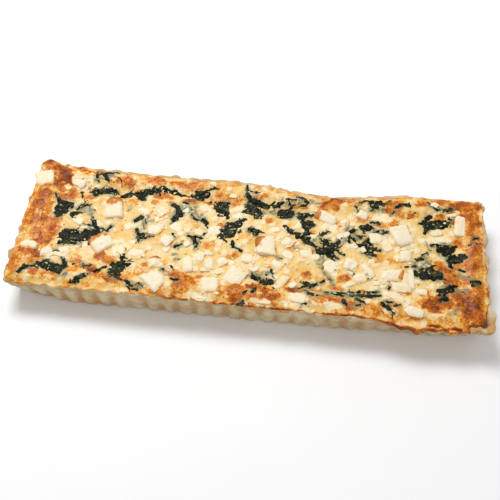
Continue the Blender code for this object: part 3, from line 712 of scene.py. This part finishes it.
def case_stations(steps):
    """Round the outline: centres, outward directions, places in the flute (-0.5 to 0.5), flute numbers."""
    half_x, half_y = HALF_X - CORNER_RADIUS, HALF_Y - CORNER_RADIUS
    corners = np.array([(half_x, -half_y), (half_x, half_y), (-half_x, half_y), (-half_x, -half_y)])
    parts = []
    flute_number = 0
    for side, flutes in enumerate((SHORT_SIDE_FLUTES, LONG_SIDE_FLUTES) * 2):
        start, end = corners[side], corners[(side + 1) % 4]
        heading = side * math.pi / 2
        for count, turning in ((flutes, 0.0), (1, math.pi / 2)):
            share = np.arange(count * steps) / (count * steps)
            along = share if turning == 0 else np.ones(steps)
            centre = start + along[:, None] * (end - start)
            angle = heading + turning * share
            place = np.arange(count * steps) % steps / steps - 0.5
            number = flute_number + np.arange(count * steps) // steps
            parts.append((centre, np.stack([np.cos(angle), np.sin(angle)], axis=1), place, number))
            flute_number += count
    return [np.concatenate(columns) for columns in zip(*parts)]


def tucked(x):
    """How far the foot of the long sides is drawn in towards both ends."""
    left = 3.5 * smooth(x, -125.0, -155.0) + 4.5 * smooth(x, -150.0, -176.0)
    right = 2.4 * smooth(x, 60.0, 120.0) + 4.2 * smooth(x, 130.0, 176.0)
    return left + right


def knob_swell(x, y):
    """How far the rim's knobs push out, and up, at each place."""
    out, up = np.zeros(len(x)), np.zeros(len(x))
    for knob_x, knob_y, reach, swell, rise in KNOBS:
        share = bell((x - knob_x) / reach) * bell((y - knob_y) / (1.5 * reach))
        out += swell * share
        up += rise * share
    return out, up


def case_profile():
    """(inset, share of the flute's depth, height under the rim) from the foot up and over the rim."""
    wall = [
        (FLARE * (1 - t) ** 1.1, 0.85 + 0.15 * t, (RIM - 1.2) * (1 - t) + 1.2)
        for t in np.linspace(0, 1, WALL_ROWS)
    ]
    foot = [(FLARE + 1.4, 0.5, RIM), (FLARE + 0.4, 0.75, RIM - 0.3)]
    wall[0] = (FLARE, 0.85, RIM - 0.9)
    rim = [
        (0.1, 1.0, 0.6),
        (0.5, 0.95, 0.15),
        (1.1, 0.75, 0.0),
        (1.9, 0.5, 0.0),
        (2.8, 0.3, 0.05),
        (3.7, 0.15, 0.2),
        (4.6, 0.0, 1.0),
        (5.2, 0.0, 3.5),
    ]
    return foot + wall + rim


def make_case():
    centre, outward, place, number = case_stations(FLUTE_STEPS)
    flute = 0.35 * np.cos(2 * math.pi * place) + 0.3 * (0.5 - np.abs(2 * place) ** 2.2)
    around = np.arange(len(place))
    draw = np.random.default_rng(5)
    flute_size = draw.uniform(0.7, 1.25, number.max() + 1)[number]
    vertices, bakes_and_groove_shade = [], []
    for inset, share, under in case_profile():
        far = smooth(centre[:, 1], 0.0, 30.0) * smooth(under, 8.0, 0.0)
        reach = CORNER_RADIUS - inset + share * (1 - 0.7 * far) * flute_size * FLUTE_DEPTH * flute
        height_share = max(1 - under / RIM, 0.0)
        x, y = shaped(*(centre + outward * reach[:, None]).T, height_share)
        y = y - np.sign(y) * tucked(x) * (1 - height_share) ** 1.3
        on_wall = np.stack([around * 0.98, np.full(len(around), under)], axis=1)
        loose = smooth(under, 8.0, 0.0) * (0.4 + 0.5 * smooth(np.abs(x), 150.0, 168.0))
        rough = (0.28 + loose) * fractal(on_wall, 5, 51) + (0.12 + 0.4 * loose) * noise(on_wall, 1.7, 54)
        out, up = knob_swell(x, y)
        push = rough + out * smooth(height_share, 0.5, 1.0)
        x, y = x + outward[:, 0] * push, y + outward[:, 1] * push
        at_top = smooth(under, 3.0, 0.0)
        on_rim = np.stack([x, y], axis=1)
        flakes = 0.4 * fractal(on_rim, 6, 57) + 0.28 * fractal(on_rim, 2.0, 58) + 0.35 * flute
        z = rim_height(x, y) - under + at_top * (flakes + up)
        if under > RIM - 0.2:
            z = np.zeros(len(x))
        vertices.append(np.stack([x, y, z], axis=1))
        # The wall's values hold painted shade in the grooves as well as baking.
        bakes_and_groove_shade.append(wall_bake_and_groove_shade(x, on_wall, flute) * (1 - at_top) + rim_bake(on_rim) * at_top)
    count = len(place)
    rings = np.arange(len(vertices) * count).reshape(-1, count)
    faces = [face for lower, upper in zip(rings, rings[1:]) for face in strip(lower, upper)]
    faces += [rings[0][::-1].tolist(), rings[-1].tolist()]
    values = {"bake_and_groove_shade": np.concatenate(bakes_and_groove_shade)}
    finished("pastry_case", "pastry", np.concatenate(vertices), faces, values, ["crust"])


def wall_bake_and_groove_shade(x, on_wall, flute):
    """How baked the wall is, with painted shade in its grooves: pale, the grooves darkened all along by
    painted shade and browner from baking towards the -x end.
    """
    left = smooth(x, -70.0, -140.0)
    # Painted shade: the grooves between the flutes are coloured darker all along the wall, and towards the -x
    # end they also brown from baking.
    groove_shade_and_bake = smooth(-flute, -0.5, 0.7) * (0.7 + 0.6 * fractal(on_wall, 22, 69))
    cloudy = 0.14 * fractal(on_wall, 14, 61) + 0.1 * fractal(on_wall, 3, 62)
    return 0.06 + cloudy + groove_shade_and_bake * (0.28 + 0.14 * left) + 0.06 * left


def rim_bake(p):
    """How baked the top of the rim is: golden at both ends, and stained by the custard near it."""
    x, y = p.T
    inside = np.stack([x * (1 - 4 / HALF_X), y * (1 - 4 / HALF_Y)], axis=1)
    stain = 0.45 * smooth(browning(inside), 0.35, 0.8) * smooth(fractal(p, 5, 65), -0.5, 0.6)
    stain = stain * (1 - 0.8 * smooth(x, 158.0, 168.0))
    ends = 0.2 * smooth(np.abs(x), 145.0, 165.0) - 0.2 * smooth(x, 164.0, 169.0)
    near_edge = smooth(y, -40.0, -50.0)
    toasted_edge = 0.5 * near_edge * smooth(x, -70.0, -45.0) * smooth(fractal(p, 4, 66), -0.3, 0.5)
    layers = 0.35 * near_edge * smooth(x, 40.0, 70.0) * noise(np.stack([x / 9, y], axis=1), 0.8, 63)
    knob = 0.75 * bell((x + 168) / 9) * bell((y - 57) / 9)
    plain = 0.1 + 0.1 * (y > 0) + 0.12 * fractal(p, 9, 67) + ends + layers + stain
    return np.maximum(plain, np.maximum(toasted_edge, knob))


# Custard

# Points along and across the custard's surface.
CUSTARD_GRID = (531, 167)


def drips(x):
    """How far the custard that ran over the near rim hangs down."""
    return sum(drop * bell((x - along) / reach) for along, reach, drop in DRIPS)


def near_flute(x):
    """How far the flutes of the near side swell at x, from -0.5 to 0.5."""
    place = (x + HALF_X - CORNER_RADIUS) / (2 * HALF_X - 2 * CORNER_RADIUS) * LONG_SIDE_FLUTES
    return 0.5 - np.abs(2 * (place % 1) - 1) ** 2.2


def custard_plan(u, v):
    """The plan place for u and v from 0 to 1 across the custard, with its uneven edge and round corners."""
    x = u * 2 * HALF_X - HALF_X
    y_guess = v * 2 * HALF_Y - HALF_Y
    line = np.zeros(len(u))
    left = INSET_LEFT + 1.1 * fractal(np.stack([y_guess, line], axis=1), 6, 71)
    right = INSET_RIGHT + 1.5 * fractal(np.stack([y_guess, line + 50], axis=1), 8, 72)
    right = right + 2.5 * bell((y_guess + 48) / 7)
    wavy_far = fractal(np.stack([x, line + 90], axis=1), 12, 73)
    wavy_near = fractal(np.stack([x, line + 130], axis=1), 9, 74)
    far = far_inset(x) + 0.9 * wavy_far
    near = near_inset(x) + 0.6 * wavy_near - 1.5 * near_flute(x) * smooth(x, 10.0, -40.0) - 0.5 * drips(x)
    x = (x * (2 * HALF_X - left - right) + HALF_X * (left - right)) / (2 * HALF_X)
    low, high = near_side(x) + near, far_side(x) - far
    y = low + v * (high - low)
    round_x = 1 - np.minimum(x + HALF_X - left, HALF_X - right - x) / CORNER_RADIUS
    round_y = 1 - np.minimum(y - low, high - y) / CORNER_RADIUS
    both = (round_x > 0) & (round_y > 0)
    turned_x = np.where(both, round_x * (np.sqrt(np.maximum(1 - round_y**2 / 2, 0)) - 1), 0)
    turned_y = np.where(both, round_y * (np.sqrt(np.maximum(1 - round_x**2 / 2, 0)) - 1), 0)
    x = x + np.sign(x) * turned_x * CORNER_RADIUS
    y = y + np.sign(y) * turned_y * CORNER_RADIUS
    bulge = bell((x - LUMP[0]) / LUMP[2]) * bell((y - LUMP[1]) / LUMP[3])
    return np.stack([x - 0.8 * bulge, y + 3.4 * bulge], axis=1)


def chunk_outlines():
    """Plan outline of each feta node, as (corner, outward normal) arrays of its edges."""
    outlines = []
    for name in FETA_NODES:
        corners = np.array([v.co for v in CAD_NODES[name].data.vertices])[:, :2] / MM
        hull = convex_hull(corners)
        edge = np.roll(hull, -1, axis=0) - hull
        normal = np.stack([edge[:, 1], -edge[:, 0]], axis=1) / np.linalg.norm(edge, axis=1)[:, None]
        outlines.append((hull, normal))
    return outlines


def turns_right(a, b, c):
    """Whether the way from a by b to c turns right or goes straight on."""
    return np.cross(np.subtract(b, a), np.subtract(c, a)) <= 0


def convex_hull(points):
    """The corners of the convex hull, anticlockwise."""
    ordered = sorted(set(map(tuple, np.round(points, 3))))
    chains = []
    for sequence in (ordered, ordered[::-1]):
        chain = []
        for point in sequence:
            while len(chain) > 1 and turns_right(chain[-2], chain[-1], point):
                chain.pop()
            chain.append(point)
        chains += chain[:-1]
    return np.array(chains)


# The side of a chunk away from the key lamp, where the custard gets a painted shadow.
NEAR_RIGHT = np.array((0.8, -0.6))


def beyond_chunks(p, reach=4.0):
    """How far outside the nearest chunk each point is, up to reach, and how much on its near right side."""
    distance = np.full(len(p), reach)
    near_right = np.zeros(len(p))
    for hull, normal in chunk_outlines():
        low, high = hull.min(axis=0) - reach, hull.max(axis=0) + reach
        near = near_box(p, low[0], high[0], low[1], high[1])
        out = ((p[near, None, :] - hull[None]) * normal[None]).sum(axis=2)
        furthest = out.argmax(axis=1)
        closer = out.max(axis=1) < distance[near]
        distance[near] = np.where(closer, out.max(axis=1), distance[near])
        near_right[near] = np.where(closer, normal[furthest] @ NEAR_RIGHT, near_right[near])
    return distance, near_right


def custard_brown_and_shadow(p, brown, edge_gap, beyond, side):
    """The browning, with a painted shadow just outside the chunks on their near right side, a toasted line
    along the near rim and dark specks.
    """
    # Painted shadow: a dark line just outside the chunks, on their near right side, away from the key lamp.
    chunk_shadow = bell((beyond - 0.5) / 0.5) * smooth(side + 0.6 * noise(p, 5, 83), 0.3, 0.9)
    ragged = edge_gap + 1.1 * noise(p, 3, 84) + 0.5 * noise(p, 1.2, 85)
    rim_line = smooth(ragged, 1.8, 0.2) * (p[:, 1] < 0) * smooth(p[:, 0], -75.0, -50.0)
    brown = np.maximum(brown, 0.62 * chunk_shadow)
    brown = np.maximum(brown, (0.7 + 0.2 * noise(p, 6, 86)) * rim_line)
    # Dark specks, partly painted shade standing for tiny holes.
    return np.maximum(brown * (1 - 0.85 * melts(p)), 0.62 * freckles(p))


def custard_veil(p):
    """How much spinach shows through the custard: under its surface, and beside the leaves on it."""
    shreds = 0.85 + 0.6 * noise(p, 1.6, 87)
    beside = 0.8 * smooth(strand_depth(p, SPINACH), -2.9, 0.0) * smooth(fractal(p, 9, 89), -0.5, 0.4)
    under = smooth(strand_depth(p, VEILED), -1.6, 1.2)
    return np.clip(np.maximum(under, beside) * shreds, 0, 1)


def custard_skirt(edge):
    """Rings of points that carry the custard's edge down, and over the near rim towards the +x end."""
    tangent = np.roll(edge, -2, axis=0) - np.roll(edge, 2, axis=0)
    outward = np.stack([tangent[:, 1], -tangent[:, 0]], axis=1)
    outward /= np.linalg.norm(outward, axis=1)[:, None]
    over_rim = smooth(edge[:, 0], 88.0, 105.0) * (edge[:, 1] < -45)
    hang = over_rim * (0.5 + drips(edge[:, 0]) + 0.5 * noise(edge[:, :2], 5, 88))
    skirt = []
    for step, drop, hang_share in ((0.3, 0.5, 0.2), (0.3, 1.2, 0.6), (0.0, 2.0, 1.0), (-0.9, 2.4, 1.0)):
        ring = edge.copy()
        ring[:, :2] += outward * step
        ring[:, 2] -= drop + hang * hang_share
        skirt.append(ring)
    return skirt


def make_custard():
    u, v = np.meshgrid(np.linspace(0, 1, CUSTARD_GRID[0]), np.linspace(0, 1, CUSTARD_GRID[1]), indexing="ij")
    p = custard_plan(u.ravel(), v.ravel())
    brown = browning(p)
    beyond, side = beyond_chunks(p)
    height = relief(p, brown) + 0.4 * bell((beyond - 0.4) / 1.1) * (beyond > -2)
    edge_gap = np.minimum(np.minimum(u, 1 - u) * 2 * HALF_X, np.minimum(v, 1 - v) * 2 * HALF_Y).ravel()
    creamy = 0.5 * smooth(fractal(p, 11, 23), 0.1, 0.9)
    values = {
        # The brown value also holds the painted shadow beside the chunks.
        "brown": custard_brown_and_shadow(p, brown, edge_gap, beyond, side),
        "veil": custard_veil(p),
        "curd": np.maximum.reduce([curds(p) * 0.9, melts(p), creamy]),
    }
    top = np.stack([p[:, 0], p[:, 1], height], axis=1)
    grid = np.arange(len(top)).reshape(CUSTARD_GRID)
    border = np.concatenate([grid[:-1, 0], grid[-1, :-1], grid[:0:-1, -1], grid[0, :0:-1]])
    skirt = custard_skirt(top[border])
    below = np.arange(len(skirt) * len(border)).reshape(len(skirt), -1) + len(top)
    rings = [border, *below]
    faces = grid_quads(grid).tolist()
    faces += [face for upper, lower in zip(rings, rings[1:]) for face in strip(lower, upper)]
    faces.append(rings[-1][::-1].tolist())
    values = {name: np.concatenate([value] + [value[border]] * len(skirt)) for name, value in values.items()}
    finished("custard_top", "custard", np.concatenate([top, *skirt]), faces, values, ["filling"])


# Feta

# A chunk longer than this gets the finer mesh.
LARGE_CHUNK = 15

# How sharp the edges of a chunk are, and how uneven its sides.
BROKEN_EDGES = (24, 0.32)
MELTED_EDGES = (9, 0.75)
BIT_EDGES = (12, 0.24)

# How thick the smaller chunks are, most of it sunk.
BIT_DEPTH = 2.4


def sphere(subdivisions):
    """Directions and faces of an even ball."""
    bm = bmesh.new()
    bmesh.ops.create_icosphere(bm, subdivisions=subdivisions, radius=1)
    directions = np.array([v.co for v in bm.verts])
    faces = np.array([[v.index for v in f.verts] for f in bm.faces])
    bm.free()
    return directions, faces


def node_planes(name):
    """(middle, half-size, normals, distances) of a convex CAD node."""
    mesh = CAD_NODES[name].data
    corners = np.array([v.co for v in mesh.vertices]) / MM
    middle = (corners.min(axis=0) + corners.max(axis=0)) / 2
    planes = {}
    for face in mesh.polygons:
        normal = np.array(face.normal)
        distance = (corners[face.vertices[0]] - middle) @ normal
        planes[tuple(np.round(normal, 1))] = (normal, distance)
    normals, distances = map(np.array, zip(*planes.values()))
    return middle, (corners.max(axis=0) - corners.min(axis=0)) / 2, normals, distances


def widened(normals, distances, share):
    """The planes of a block's sides moved outwards by that share."""
    upright = np.abs(normals[:, 2]) < 0.5
    return np.where(upright, distances * (1 + share), distances)


def chipped(normals, distances, half, draw, chips):
    """The same planes, and a few more that break off upright corners and corners of the top in turn."""
    for chip in range(chips):
        turn = draw.uniform(0, 2 * math.pi)
        rise = draw.uniform(0.3, 1.2) if chip % 2 else draw.uniform(0.0, 0.2)
        normal = np.array((math.cos(turn), math.sin(turn), rise))
        normal /= np.linalg.norm(normal)
        reach = np.abs(normal * half).sum()
        normals = np.vstack([normals, normal])
        distances = np.append(distances, reach * draw.uniform(0.66, 0.84))
    return normals, distances


def rounded_block(middle, half, normals, distances, ball, sharpness, rough, seed):
    """A broken block: the ball pushed out to the planes, with softened edges and an uneven surface."""
    directions, faces = ball
    aimed = directions * half
    aimed /= np.linalg.norm(aimed, axis=1)[:, None]
    shares = np.maximum(aimed @ normals.T, 0) / np.maximum(distances, 0.3)
    radius = (shares**sharpness).sum(axis=1) ** (-1 / sharpness)
    shape = aimed * radius[:, None]
    places = shape + middle
    bumps = rough * (fractal(places, 3.4, seed) + 0.5 * noise(places, 1.1, seed + 9))
    return shape * (1 + bumps / np.maximum(radius, 1.5))[:, None] + middle, faces


def feta_piece(name, blocks, nodes):
    """One piece from blocks of (points, faces, how toasted, how creamy)."""
    points, faces, toast, creamy = zip(*blocks)
    offsets = np.cumsum([0] + [len(block) for block in points])
    faces = np.concatenate([block + offset for block, offset in zip(faces, offsets)]).tolist()
    values = {"toast": np.concatenate(toast), "creamy": np.concatenate(creamy)}
    finished(name, "feta", np.concatenate(points), faces, values, nodes)


def make_feta():
    coarse, fine = sphere(4), sphere(5)
    blocks = []
    for number, name in enumerate(FETA_NODES):
        middle, half, normals, distances = node_planes(name)
        draw = random.Random(200 + number)
        distances = widened(normals, distances, 0.14)
        normals, distances = chipped(normals, distances, half * 1.1, draw, chips=5)
        ball = fine if max(half) > LARGE_CHUNK / 2 else coarse
        sharpness, rough = MELTED_EDGES if int(name[-2:]) in MELTED else BROKEN_EDGES
        places, faces = rounded_block(middle, half, normals, distances, ball, sharpness, rough, 300 + number)
        side, strength = TOASTED.get(int(name[-2:]), (0, 0.0))
        across = (places - middle) @ (*unit(side), 0.15) / max(half[:2])
        toast = strength * smooth(across + 0.3 * fractal(places, 4, 400 + number), 0.28, 0.8)
        creamy = draw.choice((0.0, 0.05, 0.1, 0.3)) + 0.35 * smooth(places[:, 2], 28.5, 26.5)
        blocks.append((places, faces, toast, creamy))
    feta_piece("feta_chunks", blocks, FETA_NODES)


def make_feta_bits():
    ball = sphere(4)
    blocks = []
    for number, (x, y, length, width, turn, proud) in enumerate(FETA_BITS):
        draw = random.Random(500 + number)
        top = relief(np.array([(x, y)], float))[0] + proud
        box = np.array((length, width, BIT_DEPTH)) / 2
        normals = np.repeat(np.eye(3), 2, axis=0) * np.tile((1, -1), 3)[:, None]
        normals, distances = chipped(normals, np.repeat(box, 2), box, draw, chips=5)
        c, s = unit(turn)
        spin = np.array([(c, s, 0), (-s, c, 0), (0, 0, 1)])
        half = np.abs(spin.T) @ box
        middle = np.array((x, y, top - BIT_DEPTH / 2))
        places, faces = rounded_block(middle, half, normals @ spin, distances, ball, *BIT_EDGES, 600 + number)
        creamy = draw.uniform(0.1, 0.5) + 0.3 * smooth(places[:, 2], top, top - 1.0)
        blocks.append((places, faces, np.zeros(len(places)), creamy))
    feta_piece("feta_bits", blocks, ())


def make_crumbs(count=210):
    """Crumbs that came off the chunks, sunk into the custard around them."""
    ball = sphere(2)
    draw = np.random.default_rng(8)
    outlines = chunk_outlines()
    places = []
    while len(places) < count:
        hull, normal = outlines[draw.integers(len(outlines))]
        side = draw.integers(len(hull))
        place = hull[side] + (np.roll(hull, -1, axis=0)[side] - hull[side]) * draw.random()
        places.append(place + normal[side] * draw.uniform(0.3, 6.0))
    places = np.array(places)
    on_custard = (strand_depth(places, SPINACH) < -0.5) & (browning(places) < 0.35)
    places = places[(edge_room(places) > 6) & on_custard]
    blocks = []
    for number, (place, top) in enumerate(zip(places, relief(places))):
        size = draw.uniform(0.5, 1.5)
        stretch = draw.uniform(0.7, 1.3, 3) * size * (1, 1, 0.6)
        directions, faces = ball
        bumps = 1 + 0.3 * noise(directions * 2 + number, 1.0, 700)
        points = directions * stretch * bumps[:, None] + (*place, top + 0.15 * size)
        blocks.append((points, faces, np.zeros(len(points)), np.full(len(points), draw.uniform(0, 0.5))))
    feta_piece("feta_crumbs", blocks, ())


# Spinach


def make_leaves(pitch=0.45):
    """Wilted leaves: a crumpled sheet that comes up through the custard wherever there is spinach."""
    across = np.arange(-HALF_X + 2, HALF_X - 2, pitch)
    up = np.arange(-HALF_Y - LEAN + 1, HALF_Y - 2, pitch)
    x, y = np.meshgrid(across, up, indexing="ij")
    grid = np.arange(x.size).reshape(x.shape)
    p = np.stack([x.ravel(), y.ravel()], axis=1)
    depth = strand_depth(p, SPINACH)
    quads = grid_quads(grid)
    quads = quads[(depth[quads] > -1.1).any(axis=1)]
    used, faces = np.unique(quads, return_inverse=True)
    p, depth = p[used], depth[used]
    holes, number = cells(p + 0.5 * noise(p, 1.5, 89)[:, None], 2.6, 91)
    ragged = depth + 0.2 + 0.75 * fractal(p, 2.8, 92) + 0.3 * noise(p, 0.9, 95)
    ragged -= 2.4 * smooth(0.34 - holes + 0.25 * noise(p, 0.8, 94), 0, 0.15) * (number > 0.68)
    folds = 1 - np.abs(fractal(p * (1, 1.25), 2.4, 96))
    folds = folds + 0.6 * (1 - np.abs(noise(p, 1.2, 97)))
    body = smooth(ragged, 0.0, 1.0)
    lift = 0.5 * np.clip(ragged, -1.2, 1.0) + 0.55 * body * (folds - 0.7)
    places = np.stack([p[:, 0], p[:, 1], relief(p) + lift], axis=1)
    # Painted highlight: fold crests are coloured paler; thin edges and patches of random tone are paler in
    # their own colour.
    values = {"pale_and_highlight": np.clip(0.7 * folds - 0.58 + 0.5 * (1 - body) + 0.45 * fractal(p, 4, 90), 0, 1)}
    finished("spinach_leaves", "spinach", places, faces.reshape(-1, 4).tolist(), values, SPINACH_NODES)


def shred_lines(strands, share_sunk, thin, steps, draw):
    """(centre, half-width across, sunk) of each step of narrow curled shreds along those strands."""
    centres, sides, sunk = [], [], []
    for x0, y0, x1, y1, width0, width1 in strands:
        length = math.hypot(x1 - x0, y1 - y0)
        wide = max(width0, width1)
        for _ in range(int(0.8 + 0.16 * length + 0.16 * wide)):
            share = draw.random()
            spread = wide * 0.45
            x = x0 + (x1 - x0) * share + draw.uniform(-spread, spread)
            y = y0 + (y1 - y0) * share + draw.uniform(-spread, spread)
            heading = math.atan2(y1 - y0, x1 - x0) + draw.gauss(0, 0.4)
            bend = draw.gauss(0, 0.25)
            stride = draw.uniform(1.4, 2.2 + wide) / steps
            width = thin * draw.uniform(0.25, 0.4 + 0.12 * wide)
            depth = share_sunk * draw.random()
            for step in range(steps + 1):
                taper = math.sin(math.pi * (0.12 + 0.76 * step / steps))
                centres.append((x, y))
                sides.append((-math.sin(heading) * width * taper, math.cos(heading) * width * taper))
                sunk.append(depth)
                x += math.cos(heading) * stride
                y += math.sin(heading) * stride
                heading += bend
    return centres, sides, sunk


def make_shreds(steps=5):
    """Narrow curled shreds of leaf, on and beside the leaves, and half sunk where spinach shows through."""
    draw = random.Random(77)
    lines = zip(
        shred_lines(SPINACH, 0.3, 1.0, steps, draw),
        shred_lines(VEILED, 0.8, 0.7, steps, draw),
    )
    centres, sides, sunk = (np.array(over + under) for over, under in lines)
    rows = []
    for across, lift in ((-1, 0.1), (-0.3, 0.6), (0.4, 0.4), (1, 0.15)):
        p = centres + sides * across
        rows.append(np.column_stack([p, relief(p) + lift - sunk + 0.35 * fractal(p, 1.6, 98)]))
    points = np.stack(rows, axis=1)
    numbers = np.arange(points.shape[0] * 4).reshape(-1, steps + 1, 4)
    faces = grid_quads(numbers)
    kept = (custard_gap(centres) > 1)[faces // 4].all(axis=1)
    # The shreds' paler colour is their own tone: random, and paler where they are sunk.
    pale_and_highlight = np.repeat(0.25 + 0.5 * noise(centres, 4, 99) + 0.4 * sunk, 4)
    finished("spinach_shreds", "spinach", points.reshape(-1, 3), faces[kept].tolist(), {"pale_and_highlight": pale_and_highlight}, ())


# Floor, lamps and camera

FLOOR_SIZE = 6
FLOOR_DROP = 0.0002
SKY_STRENGTH = 0.48

# Lamps: place, width and length of the light, and power. They aim at the middle of the quiche.
LAMPS = {
    "key": ((-0.3, 0.45, 0.95), (0.5, 0.35), 8.6),
    "fill": ((0.5, -0.9, 0.8), (0.9, 0.6), 1),
}
LAMP_AIM = Vector((0, 0, 0.02))

# Camera: what it looks at, and from where, in degrees and metres.
CAMERA_AIM = Vector((0.0003, -0.0074, RIM * MM))
AZIMUTH = 6.4
ELEVATION = 58.6
DISTANCE = 0.5155


def make_floor():
    bpy.ops.mesh.primitive_plane_add(size=FLOOR_SIZE, location=(0, 0, -FLOOR_DROP))
    floor = bpy.context.object
    floor.name = "floor"
    floor.data.materials.append(floor_material())


def aimed(name, data, place, heading):
    """A lamp or camera at that place, facing along heading."""
    made = bpy.data.objects.new(name, data)
    made.location = place
    made.rotation_euler = heading.to_track_quat("-Z", "Y").to_euler()
    bpy.context.scene.collection.objects.link(made)
    return made


def make_light():
    world = bpy.data.worlds.new("studio")
    world.use_nodes = True
    world.node_tree.nodes["Background"].inputs["Color"].default_value = WHITE
    world.node_tree.nodes["Background"].inputs["Strength"].default_value = SKY_STRENGTH
    bpy.context.scene.world = world
    for name, (place, size, power) in LAMPS.items():
        lamp = bpy.data.lights.new(name, "AREA")
        lamp.shape = "RECTANGLE"
        lamp.size, lamp.size_y = size
        lamp.energy = power
        aimed(name, lamp, place, LAMP_AIM - Vector(place))


def make_camera():
    camera = bpy.data.cameras.new("camera")
    camera.lens = 50
    camera.sensor_width = 36
    camera.clip_start = 0.01
    across, up = unit(AZIMUTH), unit(ELEVATION)
    back = Vector((across[1] * up[0], -across[0] * up[0], up[1]))
    bpy.context.scene.camera = aimed("camera", camera, CAMERA_AIM + back * DISTANCE, -back)


bpy.context.scene.view_settings.view_transform = "Standard"
MATERIALS = {
    "pastry": pastry_material(),
    "custard": custard_material(),
    "feta": feta_material(),
    "spinach": spinach_material(),
}
make_case()
make_custard()
make_feta()
make_feta_bits()
make_crumbs()
make_leaves()
make_shreds()
make_floor()
make_light()
make_camera()
